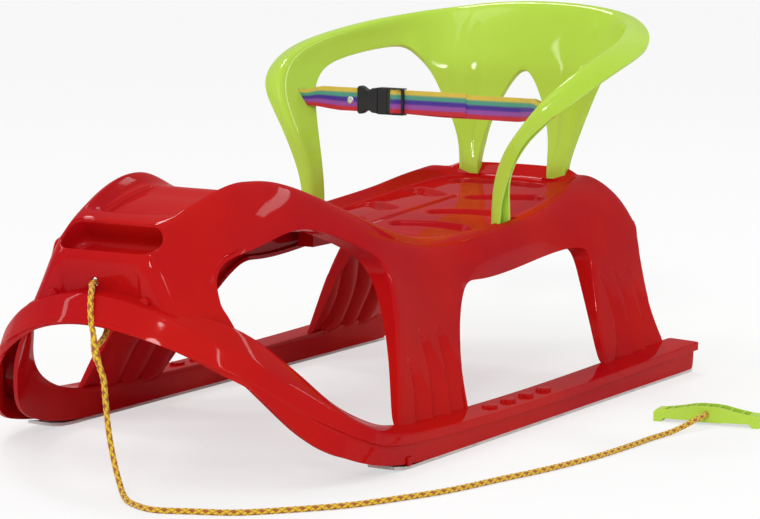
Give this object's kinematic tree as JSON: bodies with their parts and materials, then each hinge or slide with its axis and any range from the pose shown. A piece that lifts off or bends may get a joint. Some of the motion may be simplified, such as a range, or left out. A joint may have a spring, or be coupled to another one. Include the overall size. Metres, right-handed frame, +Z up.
{
  "type": "child's plastic sled",
  "caption": "Child's moulded plastic sled on steel-shod runners, with a plug-in backrest, a striped lap belt with a side-release buckle, and a pull rope with a T handle.",
  "frame": {"origin": "on the floor, in the middle of the sled's width and of its length with the backrest, without the rope", "axes": "+Z up, +X to the rider's right hand when facing forward is -X, so +X is the rider's left; the front of the sled is at -Y and the backrest at +Y"},
  "size_m": [0.6216, 0.9336, 0.3957],
  "materials": {
    "red_plastic": "glossy moulded polyethylene",
    "green_plastic": "satin to glossy moulded polyethylene",
    "strip_steel": "rolled steel strip",
    "rivet_metal": "domed, bright",
    "black_plastic": "fine satin",
    "striped_webbing": "woven webbing in five lengthwise stripes",
    "yellow_cord": "braided cord, yellow with a red tracer"
  },
  "bodies": {
    "sled": {"sled_body": "red_plastic", "runner_rail_left": "strip_steel", "runner_rail_right": "strip_steel", "rope_loop": "yellow_cord", "rope_knot": "yellow_cord", "pull_rope": "yellow_cord", "rope_handle": "green_plastic"},
    "backrest": {"backrest": "green_plastic", "strap_left": "striped_webbing", "strap_rivet": "rivet_metal", "buckle_socket": "black_plastic"},
    "belt_plug": {"buckle_plug": "black_plastic", "strap_right": "striped_webbing"}
  },
  "joints": [
    {"name": "backrest_lift", "type": "slide", "parent": "sled", "child": "backrest", "axis": [0, 0, 1], "range_m": [0, 0.07]},
    {"name": "buckle_release", "type": "slide", "parent": "backrest", "child": "belt_plug", "axis": [1, 0, 0], "range_m": [0, 0.018]}
  ]
}
